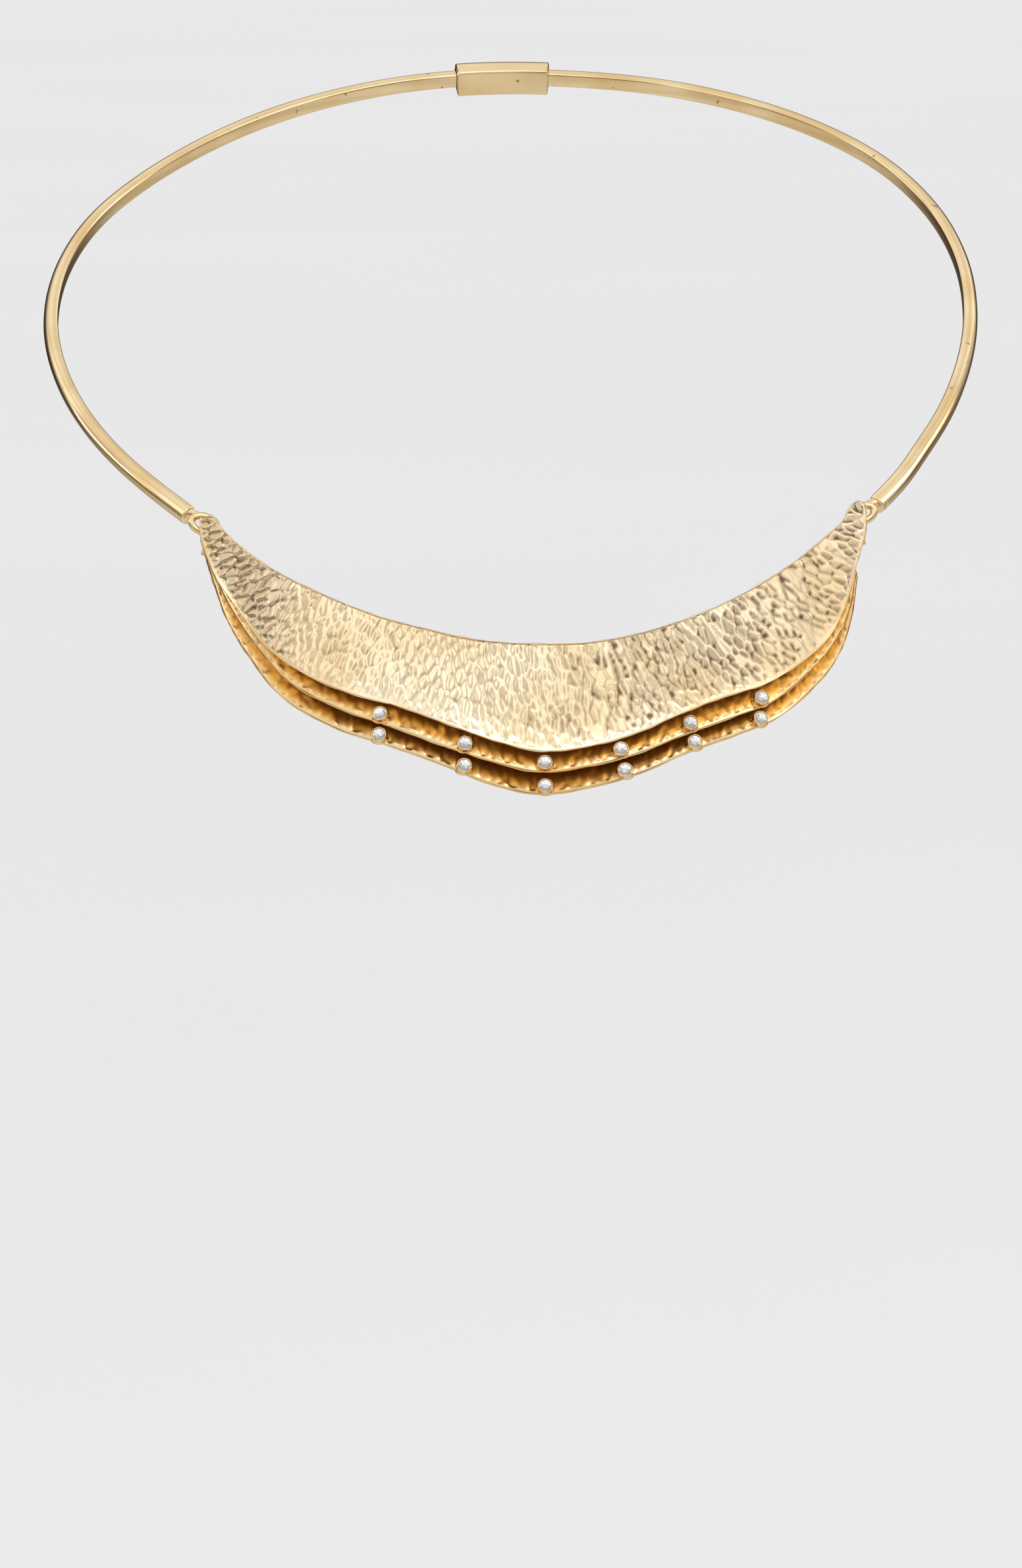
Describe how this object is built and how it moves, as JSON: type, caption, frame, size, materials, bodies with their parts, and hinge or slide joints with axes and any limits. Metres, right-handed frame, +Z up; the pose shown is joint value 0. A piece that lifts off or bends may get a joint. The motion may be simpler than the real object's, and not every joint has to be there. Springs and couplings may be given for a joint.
{
  "type": "rigid collar bib necklace",
  "caption": "Gold-tone rigid collar necklace whose front carries a bib of layered hammered crescents, the lower ones set with round clear crystals in tube settings.",
  "frame": {"origin": "middle of the clasp's inner face, where the collar rests on the nape", "axes": "+X towards the wearer's left, -Y out through the bib, +Z up as worn"},
  "size_m": [0.141, 0.1391, 0.0981],
  "materials": {
    "polished_gold": "polished gold plate, smooth",
    "hammered_gold": "pale gold plate over leaf-shaped hammer marks, satin",
    "crystal": "clear faceted crystal"
  },
  "bodies": {
    "collar": {"collar_right": "polished_gold", "collar_left": "polished_gold", "clasp": "polished_gold"},
    "bib": {"front_plate": "hammered_gold", "middle_plate": "hammered_gold", "back_plate": "hammered_gold", "middle_crystal_1": "crystal", "middle_crystal_2": "crystal", "middle_crystal_3": "crystal", "middle_crystal_4": "crystal", "middle_crystal_5": "crystal", "middle_crystal_6": "crystal", "back_crystal_1": "crystal", "back_crystal_2": "crystal", "back_crystal_3": "crystal", "back_crystal_4": "crystal", "back_crystal_5": "crystal", "back_crystal_6": "crystal"}
  },
  "joints": [
    {"name": "bib_swing", "type": "hinge", "parent": "collar", "child": "bib", "pos_m": [0, -0.10662, -0.05899], "axis": [1, 0, 0], "range_deg": [-10, 100]}
  ]
}
